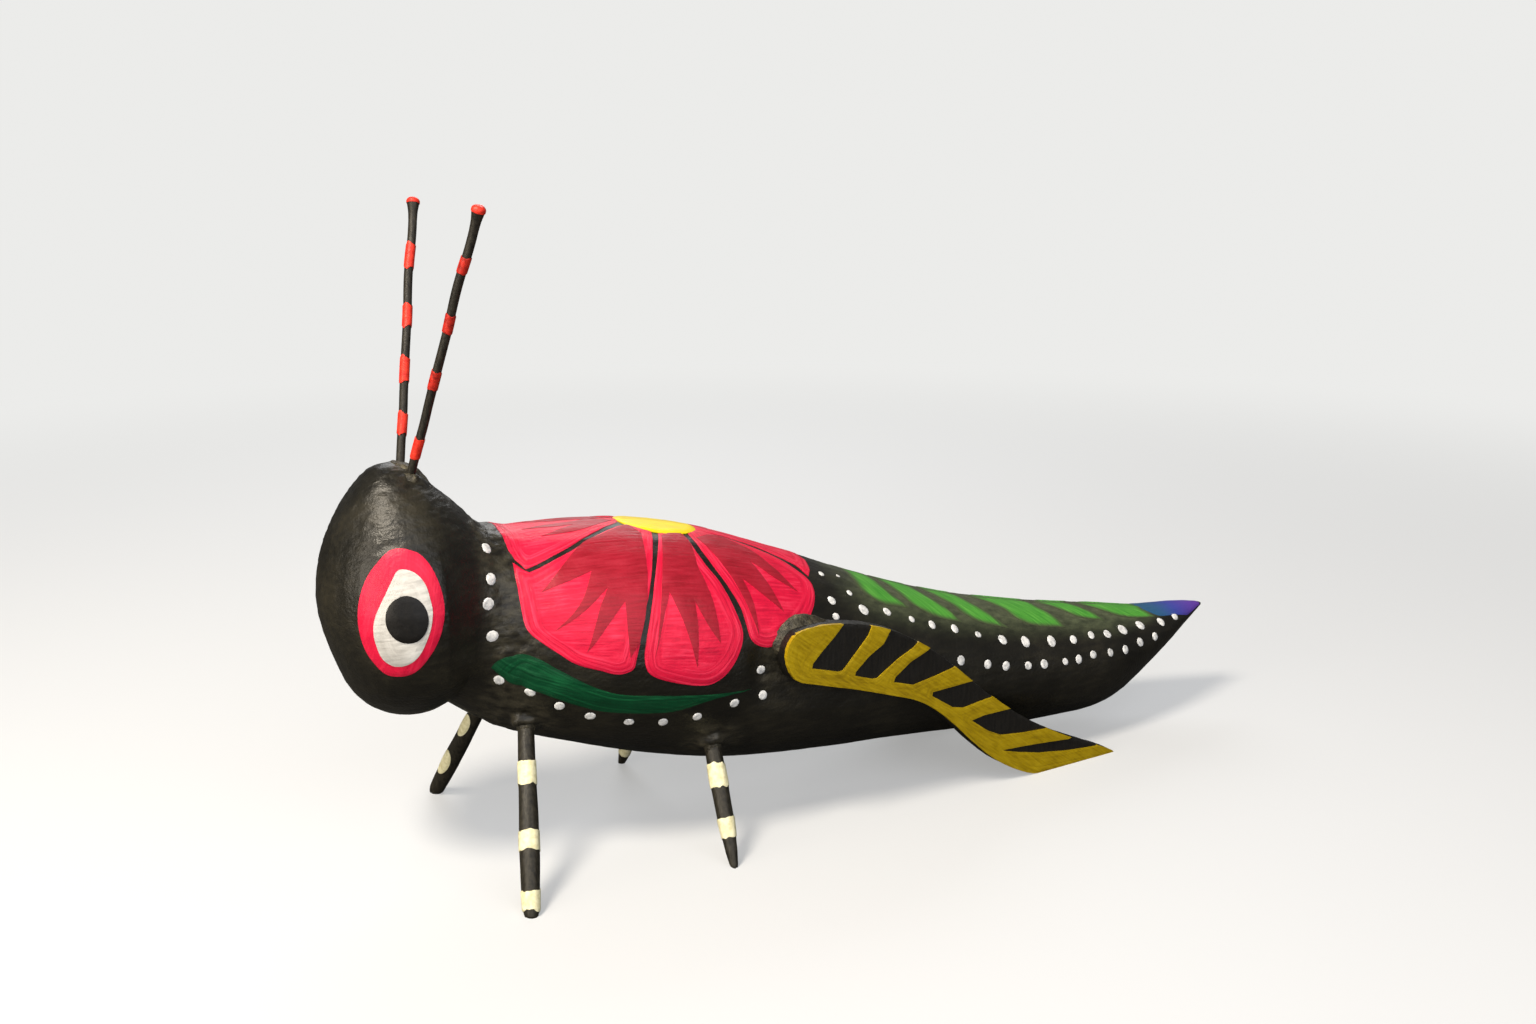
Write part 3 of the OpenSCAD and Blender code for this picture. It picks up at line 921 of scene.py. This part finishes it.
LEAF = round_body(
    [(31.8, 116), (34, 102), (37, 94.5), (40, 92.5), (44.5, 97), (51, 103), (57, 106), (64.5, 105),
     (77.5, 101)],
    [(88, 97.5), (79, 103), (70, 112), (62.5, 116), (54, 118), (48, 117), (41, 115.5), (35, 117)])
WING_STROKES = [
    round_body([(126.5, 0), (125.5, 24), (126.5, 35), (130.5, 40), (135, 40)],
               [(138.5, 39.5), (137.5, 33), (136, 28), (135, 19), (133.5, 0)]),
    round_body([(136, 0), (138, 19), (140, 34), (142.5, 39), (147, 44)],
               [(154, 45.5), (152.5, 34), (150, 24), (148, 13), (146, 0)]),
    round_body([(149.5, 0), (151.5, 11), (154.5, 25), (157, 38), (161, 44)],
               [(169, 47.5), (166.5, 37), (164, 25), (162, 13), (160, 0)]),
    round_body([(165, 0), (167.5, 8), (171, 21), (173.5, 36), (178, 43), (184, 44)],
               [(189, 44), (187.5, 30), (185.5, 16), (183, 0)]),
    round_body([(186.5, 0), (192, 20), (196, 31)], [(204.5, 36.5), (202.5, 23), (200, 12), (197, 0)]),
    round_body([(200.5, 0), (206.5, 19), (211.5, 32)], [(224, 48), (223, 30), (222.5, 21), (221.5, 0)]),
]
TAIL_TIP = round_body([(222, 0), (223, 26), (226, 49), (232, 62)], [(237.5, 84), (243, 84), (244.8, 78)],
                      [(244.8, 0)])


COAT = 0.2
DRY_COAT = 0.12  # dragged on with little paint
TIP_COAT = 0.14
SECOND_COAT = 0.32  # over the petals
MIDDLE_COAT = 0.42  # over the spikes


def paint_flower():
    """Eight pink petals round a yellow middle, with crimson spikes on all but the rear one."""
    for name, shape in (("front_petal", front_petal()), ("rear_petal", rear_petal())):
        paint(name, PINK, "pink_paint", shape, over_body(RIGHT), COAT, straight_brush(4))
    for side_name, side in SIDES.items():
        lay = over_body(side)
        for petal, shape in SIDE_PETALS.items():
            name = f"{side_name}_{petal}_petal"
            paint(name, PINK, "pink_paint", shape, lay, COAT, straight_brush(-6))
            paint(f"{name}_spikes", CRIMSON, "crimson_paint", SPIKES[petal], lay, SECOND_COAT,
                  straight_brush(-4), 0.8, rim_share=0.85)
        paint(f"{side_name}_front_petal_spikes", CRIMSON, "crimson_paint", FRONT_SPIKES, lay, SECOND_COAT,
              straight_brush(4), 0.8, rim_share=0.85)
    paint("flower_middle", YELLOW, "yellow_paint", round_body(oval(76.8, 0, 9.8, 16, 16)),
          over_body(RIGHT), MIDDLE_COAT)


def paint_leaf_and_wing(side_name, side):
    """Under the flower the dark leaf, behind it the green strokes of the wing, and the violet tip."""
    lay = over_body(side)
    paint(f"{side_name}_leaf", DARK_GREEN, "dark_green_paint", LEAF, lay, COAT)
    for number, shape in enumerate(WING_STROKES, 1):
        paint(f"{side_name}_wing_stroke_{number}", LEAF_GREEN, "bright_green_paint", shape, lay, DRY_COAT,
              straight_brush(70), 0.9)
    paint(f"{side_name}_tail_tip", VIOLET, "violet_paint", TAIL_TIP, lay, TIP_COAT)


# ---------------------------------------------------------------- dots

# Each dot is (millimetres behind the face, degrees from the spine, width in millimetres).
NECK_DOTS = [(33.5, 30, 2.5), (33, 50, 2.5), (31.5, 69, 2.7), (32, 91, 2.6), (33.5, 121, 2.4)]
BELLY_DOTS = [(39.5, 118, 2.4), (45.5, 121, 2.4), (52, 123, 2.4), (60.5, 123, 2.2), (68, 120, 2.3),
              (75.5, 114, 2.3), (84, 105, 2.3), (91.5, 101, 2.3), (91, 88, 2.2)]
REAR_DOTS = [(115.5, 25, 1.7), (121, 22, 1.2), (121, 37, 1.7), (114, 46, 2.4), (113.5, 56, 2.1)]
UPPER_ROW = [(123, 48, 2.9), (130.5, 46, 2.4), (137.5, 49, 1.8), (143.5, 51, 2.3), (150.5, 52, 2.4),
             (157.5, 55, 1.9), (165, 58, 2.7), (172.5, 59, 3.0), (181.5, 58, 3.0), (189.5, 57, 2.5),
             (196.5, 53, 2.3), (202.5, 53, 2.5), (209, 51, 3.1), (216.5, 52, 2.9), (225, 61, 2.6),
             (231.5, 65, 2.4)]
LOWER_ROW = [(149.5, 75, 2.5), (158, 77, 2.4), (164, 78, 2.5), (171.5, 78, 2.3), (177, 77, 2.5),
             (184.5, 76, 2.0), (189.5, 75, 2.4), (195, 72, 2.3), (201.5, 72, 2.2), (207.5, 73, 2.4),
             (214, 72, 2.5), (220.5, 76, 2.3)]


DOT_MOUND = 0.13
DOT_BURIED = 0.3


def dab(bm, place, normal, width_mm, hand):
    """One dot: a low mound with a round shoulder, never quite circular, that follows the wood under it."""
    verts = bmesh.ops.create_icosphere(bm, subdivisions=2, radius=1)["verts"]
    stretch = 1 + hand.uniform(-0.08, 0.08)
    turn = Matrix.Rotation(hand.uniform(0, math.pi), 3, "Z")
    face_out = normal.to_track_quat("Z", "Y").to_matrix()
    half = width_mm / 2
    for v in verts:
        mound = math.copysign(abs(v.co.z) ** 0.35, v.co.z) * (DOT_MOUND if v.co.z > 0 else DOT_BURIED)
        flat = turn @ Vector((v.co.x * half * stretch, v.co.y * half / stretch, 0))
        over = place + (face_out @ flat + normal * 3) * MM
        v.co = struck(SKIN_TREE, over, -normal)[0] + normal * mound * MM


def paint_dots(side_name, side):
    """Five groups of white dots, set down one by one."""
    hand = random.Random(12 + side)
    rows = {"neck": NECK_DOTS, "belly": BELLY_DOTS, "rear": REAR_DOTS, "upper": UPPER_ROW, "lower": LOWER_ROW}
    for row, dots in rows.items():
        bm = bmesh.new()
        for x, turn, width in dots:
            place, normal = body_surface(x, turn, side)
            dab(bm, place, normal, width, hand)
        new_piece(f"{side_name}_{row}_dots", bm, DOT_WHITE, crease=60)


# ---------------------------------------------------------------- eyes

# The outlines are (millimetres behind the face, height).
EYE_RIM = outline([
    (13.8, 76.9), (15.8, 76.4), (17.5, 75.5), (19.0, 73.5), (20.1, 70.8), (20.8, 67.9), (21.0, 64.9),
    (20.6, 61.8), (19.4, 58.2), (17.4, 54.6), (15.6, 52.2), (13.9, 50.8), (11.9, 50.3), (9.9, 50.5),
    (8.3, 51.9), (6.4, 54.9), (5.3, 58.4), (4.9, 62.0), (5.1, 65.2), (5.8, 68.3), (7.2, 71.5),
    (9.2, 74.2), (11.6, 76.4)])
EYE_EGG = outline([
    (13.0, 72.9), (14.8, 72.7), (16.4, 71.6), (17.6, 69.7), (18.1, 67.2), (18.4, 64.6), (18.0, 61.6),
    (17.0, 58.6), (15.7, 55.8), (14.1, 53.8), (12.1, 52.9), (10.4, 53.1), (8.8, 54.6), (7.9, 57.1),
    (7.4, 59.9), (7.7, 63.1), (8.9, 66.2), (10.5, 69.2), (12.0, 72.0)])
EYE_PUPIL = outline(oval(13.5, 63.0, 3.95, 4.85, 14))
EYE_COATS = (0.2, 0.36, 0.54)


def paint_eye(side_name, side):
    """Three coats, each on the one before: the pink rim, the white and the black pupil."""
    lay = from_side(SKIN_TREE, side)
    rim, white, pupil = EYE_COATS
    across = straight_brush(8)
    paint(f"{side_name}_eye_rim", EYE_PINK, "pink_paint", EYE_RIM, lay, rim, straight_brush(75), 0.8)
    paint(f"{side_name}_eye_white", EYE_WHITE, "white_paint", EYE_EGG, lay, white, across, 0.7, rim_share=0.8)
    paint(f"{side_name}_pupil", PUPIL, "black_body", EYE_PUPIL, lay, pupil, across, 0.6, rim_share=0.85)


# ---------------------------------------------------------------- pegs and feelers

KNIFE_FLATS = 900  # how quickly the knife's flats follow each other round a peg, to the metre


def whittled(rod, voxel_mm, depth_mm, wobble_mm=0.0):
    """A peg with long flat knife strokes, or a feeler that isn't quite straight."""
    bm = rubbed_down(merged_copy(rod.node), voxel_mm, 5)
    side = rod.direction.cross(rod.outward)
    for v in bm.verts:
        along = rod.along(v.co)
        out = v.co - rod.at(along)
        across = Vector((out.dot(rod.outward), out.dot(side), 0)) * KNIFE_FLATS
        stroke = noise.noise(across + Vector((0, 0, along / 8)))
        bend = wobble_mm * smooth_step(along, 4, 20)
        v.co += v.normal * stroke * depth_mm * MM
        v.co += rod.outward * bend * noise.noise(Vector((along / 16, 3, 0))) * MM
        v.co += side * bend * noise.noise(Vector((along / 16, 0, 7))) * MM
    bm.normal_update()
    return bm


def banded(wood, rod, start, end, lean=0.12, point=0.0):
    """A band of paint round a rod: the wood's own surface between two cuts, swollen by the paint.
    The cuts lean a little, and with point they meet in a ridge, as when the brush is drawn to a tip."""
    bm = wood.copy()
    side = rod.direction.cross(rod.outward)
    for along, sense in ((start, -1), (end, 1)):
        for tip in ((1, -1) if point else (1,)):
            tilt = rod.outward * lean * noise.noise(Vector((along, 5, tip))) * 3 + side * point * tip
            cut_away(bm, rod.at(along), (rod.direction * sense + tilt).normalized(), fill=False)
    bmesh.ops.remove_doubles(bm, verts=[v for v in bm.verts if v.is_boundary], dist=0.03 * MM)
    bm.normal_update()
    for v in bm.verts:
        swell = 0.16 if not v.is_boundary else 0.1
        v.co += v.normal * swell * MM
        if v.is_boundary:
            v.co += rod.direction * 0.5 * noise.noise(v.co / (1.1 * MM)) * MM
    caps = bmesh.ops.holes_fill(bm, edges=[e for e in bm.edges if e.is_boundary], sides=0)["faces"]
    bmesh.ops.poke(bm, faces=caps)
    bmesh.ops.recalc_face_normals(bm, faces=bm.faces)
    return bm


def capped(wood, rod, start):
    """The dipped end of a feeler."""
    bm = wood.copy()
    cut_away(bm, rod.at(start), -rod.direction)
    bm.normal_update()
    for v in bm.verts:
        v.co += v.normal * 0.14 * MM
    return bm


LEG_BANDS = {
    "left_front_leg": [(8.9, 13.9), (23.9, 28.2), (36.4, 40.8)],
    "left_middle_leg": [(5.6, 10.7), (17.6, 22.0)],
    "right_middle_leg": [(5.2, 10.6), (17.2, 22.0)],
}
BLOTCHES = [(14.1, 3.8), (28.8, 4.3)]  # along the right front leg, and half their length
BLOTCH_FACING = Vector((-0.9, -0.35, 0.3))
BLOTCH_COAT = 0.16
PEG_RADIUS = 2.2
FEELER_BANDS = {
    "left_antenna": [(3.4, 8.1), (19.6, 23.6), (32.3, 36.2), (45.5, 48.8)],
    "right_antenna": [(5.8, 11.7), (17.3, 23.9), (29.6, 35.7), (42.9, 49.4)],
}
FEELER_CAP = 58.3


def round_rod(tree, rod, facing, radius_mm):
    """Lays a flat shape round a rod: u is millimetres round it from the way it faces, v is along it."""
    across = (facing - rod.direction * facing.dot(rod.direction)).normalized()

    def lay(u, v):
        out = Matrix.Rotation(u / radius_mm, 3, rod.direction) @ across
        return struck(tree, rod.at(v) + out * 8 * MM, -out)
    return lay


def make_legs():
    """Four whittled pegs. Three have cream bands, and the far front one has two blotches."""
    for name, rod in LEGS.items():
        wood = whittled(rod, voxel_mm=0.3, depth_mm=0.11)
        for number, (start, end) in enumerate(LEG_BANDS.get(name, ()), 1):
            new_piece(f"{name}_band_{number}", banded(wood, rod, start, end), CREAM, crease=50)
        if name == "right_front_leg":
            lay = round_rod(BVHTree.FromBMesh(wood), rod, BLOTCH_FACING, PEG_RADIUS)
            for number, (middle, half) in enumerate(BLOTCHES, 1):
                shape = outline(oval(0, middle, 1.9, half, 12))
                paint(f"{name}_blotch_{number}", CREAM, "cream_paint", shape, lay, BLOTCH_COAT,
                      cell_mm=0.6, crease=50)
        new_piece(f"whittled_{name}", wood, PEG_BLACK, [name])


def make_feelers():
    """Two thin rods with red bands and caps. The left one's bands are thinly painted, but for the first."""
    for name, rod in FEELERS.items():
        wood = whittled(rod, voxel_mm=0.22, depth_mm=0.05, wobble_mm=0.5)
        pointed = 0.9 if name == "right_antenna" else 0.0
        for number, (start, end) in enumerate(FEELER_BANDS[name], 1):
            bm = banded(wood, rod, start, end, 0.1, pointed)
            red = THIN_RED if name == "left_antenna" and number > 1 else RED
            new_piece(f"{name}_band_{number}", bm, red, crease=50)
        new_piece(f"{name}_cap", capped(wood, rod, FEELER_CAP), RED, crease=50)
        new_piece(f"whittled_{name}", wood, FEELER_BLACK, [name])


# ---------------------------------------------------------------- paste round the roots

def smeared(node, swell_mm, rod=None, shape=None):
    """A filler smeared with a finger: swollen over its neighbours, lumpy, and thinned out along a peg."""
    bm = rubbed_down(merged_copy(node), 0.35, 6)
    for v in bm.verts:
        if shape:
            shape(v)
        p = millimetres(v.co)
        lump = 0.3 * noise.noise(p / 1.6) + 0.12 * noise.noise(p / 0.7)
        v.co += v.normal * (swell_mm + lump) * MM
        if rod:
            along = rod.along(v.co)
            out = v.co - rod.at(along)
            squeeze = 1 - 0.4 * smooth_step(along, -1.8, 1.6)
            v.co = rod.at(along + 1.4 * smooth_step(along, 0.2, 1.8)) + out * squeeze
    bm.normal_update()
    return bm


def webbed(v):
    """The paste between the feelers: down on the crown, and drawn up a little round each feeler."""
    pressed_to_crown(v)
    p = millimetres(v.co)
    away = Vector((p.x - FEELER_MIDDLE.x, p.y)).length
    v.co.z -= 0.9 * smooth_step(away, 2.6, 4.2) * MM
    if p.z > 88:
        for rod in FEELERS.values():
            away = p - millimetres(rod.at(1.5))
            v.co.z += 1.5 * math.exp(-(Vector((away.x, away.y)).length / 1.7) ** 2) * MM


HIND_ROOT = (104.0, 43.6)


def thinned_round_hind_leg(v):
    """The paste in front of a hind leg: a lip that hugs the root, widest above it and gone below it."""
    p = millimetres(v.co)
    out = Vector((p.x - HIND_ROOT[0], p.z - HIND_ROOT[1]))
    round_it = math.degrees(math.atan2(out.y, -out.x))
    smeared_here = smooth_step(round_it, -12, 22) * (1 - 0.7 * smooth_step(round_it, 60, 135))
    slope = 1 - 0.75 * smooth_step(abs(p.y), 25.5, 28.6)
    reach = 5.6 + 1.7 * abs(out.x) / max(out.length, 0.1) + 3.9 * smeared_here * slope
    if out.length > reach:
        out *= reach / out.length
    v.co = metres(HIND_ROOT[0] + out.x, p.y, HIND_ROOT[1] + out.y)


def make_paste():
    """The collars round the pegs, the web between the feelers, and the lips of the hind legs."""
    for name, rod in LEGS.items():
        node = f"{name}_filler"
        new_piece(f"{name}_paste", smeared(node, 0.2, rod), PASTE, [node])
    web = smeared("antenna_filler", 0.15, shape=webbed)
    new_piece("feeler_paste", web, PASTE, ["antenna_filler"])
    for side_name in SIDES:
        node = f"{side_name}_hind_leg_filler"
        crescent = smeared(node, 0.1, shape=thinned_round_hind_leg)
        new_piece(f"{side_name}_hind_leg_paste", crescent, PASTE, [node])


# ---------------------------------------------------------------- hind legs

# The bare black windows, as corners (millimetres behind the face, height). Their tops run off the leg's edge.
HIND_WINDOWS = [
    [(111.9, 51.5), (119.5, 50.0), (117.6, 46.2), (110.6, 39.2), (109.3, 39.1), (102.0, 41.2), (102.3, 42.3),
     (104.4, 44.4), (108.2, 47.7)],
    [(125.0, 48.0), (134.5, 44.0), (130.8, 41.0), (126.3, 39.0), (120.3, 35.4), (119.0, 35.5), (114.0, 37.2),
     (114.2, 38.1), (117.9, 41.2), (122.0, 43.5)],
    [(138.5, 42.0), (147.0, 35.6), (144.1, 34.0), (138.6, 32.9), (131.0, 31.7), (125.2, 33.5), (125.6, 34.6),
     (130.0, 37.6), (135.0, 39.5)],
    [(152.0, 31.2), (160.5, 24.6), (157.1, 23.9), (151.1, 23.4), (146.7, 22.8), (143.2, 23.6), (136.7, 27.8),
     (137.0, 28.7), (142.1, 28.9), (149.5, 29.2)],
    [(165.5, 21.0), (177.5, 11.4), (166.1, 12.2), (158.7, 13.2), (154.5, 15.2), (149.3, 18.9), (153.0, 19.5),
     (158.4, 19.5), (163.5, 19.5)],
    [(184.5, 8.0), (193.0, 3.0), (181.7, 4.0), (172.0, 5.5), (164.5, 7.3), (159.3, 8.9), (166.3, 8.5),
     (174.8, 7.8), (182.0, 7.1)],
]


def outer_face(node, side):
    """The leg's outer flat as a sheet, drawn in a little from its edge, and how to lay it back on.
    The sheet is in millimetres behind the face and up."""
    bm = merged_copy(node)
    outward = Vector((0, side, 0))
    bmesh.ops.delete(bm, geom=[f for f in bm.faces if f.normal.dot(outward) < 0.98], context="FACES")
    bmesh.ops.dissolve_faces(bm, faces=bm.faces[:])
    bm.faces.ensure_lookup_table()
    place, normal = bm.faces[0].calc_center_median(), bm.faces[0].normal.copy()

    def lay(u, v):
        start = metres(u, 0, v)
        across = (place - start).dot(normal) / normal.y
        return start + Vector((0, across, 0)), normal

    for v in bm.verts:
        p = millimetres(v.co)
        v.co = Vector((p.x, p.z, 0))
    bmesh.ops.recalc_face_normals(bm, faces=bm.faces)
    if bm.faces[0].normal.z < 0:
        bmesh.ops.reverse_faces(bm, faces=bm.faces[:])
    bmesh.ops.inset_region(bm, faces=bm.faces[:], thickness=0.35, use_even_offset=True)
    narrow = [f for f in bm.faces if len(f.verts) == 4]
    bmesh.ops.delete(bm, geom=narrow, context="FACES")
    return bm, lay


def make_hind_legs():
    """Each flat hind leg, and the olive coat on its outer side that leaves the slanting windows black."""
    for side_name, side in SIDES.items():
        node = f"{side_name}_hind_leg"
        wood = rubbed_down(merged_copy(node), 0.45, 2)
        for v in wood.verts:
            p = millimetres(v.co)
            v.co += v.normal * (0.12 * noise.noise(p / 9) + 0.05 * noise.noise(p / 2.5)) * MM
        wood.normal_update()
        sheet, lay = outer_face(node, side)
        paint(f"{side_name}_hind_leg_stripes", OLIVE, "olive_paint", sheet, lay, 0.26, straight_brush(-36),
              0.6, HIND_WINDOWS, rim_share=0.8, buried_mm=0.8)
        new_piece(f"carved_{node}", wood, HIND_BLACK, [node])


# ---------------------------------------------------------------- floor

def pale_studio_floor():
    """Pale card that goes over into the white of the room. It throws little light up under the figure."""
    finish = new_finish("pale_studio_floor")
    shader = finish.node_tree.nodes["Principled BSDF"]
    shader.inputs["Roughness"].default_value = 0.9
    shader.inputs["Specular IOR Level"].default_value = 0.1
    seen = add_node(finish, "ShaderNodeLightPath", out="Is Camera Ray")
    colour = add_node(finish, "ShaderNodeMix", COLOURS, MIXED_COLOUR, n0=seen, n6=linear("#4C4C4B"),
                      n7=linear("#E9ECF2"))
    plug(finish, colour, shader.inputs["Base Color"])
    place = add_node(finish, "ShaderNodeTexCoord", out="Object")
    away = add_node(finish, "ShaderNodeVectorMath", {"operation": "LENGTH"}, "Value", n0=place)
    far = add_node(finish, "ShaderNodeMapRange", SMOOTH, Value=away, From_Min=0.15, From_Max=0.75,
                   To_Min=0.4, To_Max=1.0)
    white = add_node(finish, "ShaderNodeMath", TIMES, n0=seen, n1=far)
    glow = add_node(finish, "ShaderNodeEmission", Color=linear("#F7F7F5"), Strength=0.9)
    mixed = add_node(finish, "ShaderNodeMixShader", n0=white, n1=shader.outputs["BSDF"], n2=glow)
    plug(finish, mixed, finish.node_tree.nodes["Material Output"].inputs["Surface"])
    return finish


def lay_floor():
    bm = bmesh.new()
    bmesh.ops.create_grid(bm, x_segments=1, y_segments=1, size=6)
    floor = made_object("floor", bm)
    floor.data.materials.append(pale_studio_floor())


place_camera()
light_the_studio()
lay_floor()
make_body()
paint_flower()
for side_name, side in SIDES.items():
    paint_leaf_and_wing(side_name, side)
    paint_dots(side_name, side)
    paint_eye(side_name, side)
make_legs()
make_feelers()
make_paste()
make_hind_legs()
for node in ("neck_dowel", "left_hind_leg_dowel", "right_hind_leg_dowel"):
    for material_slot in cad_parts[node].material_slots:
        material_slot.material = RAW_WOOD
SKIN.free()
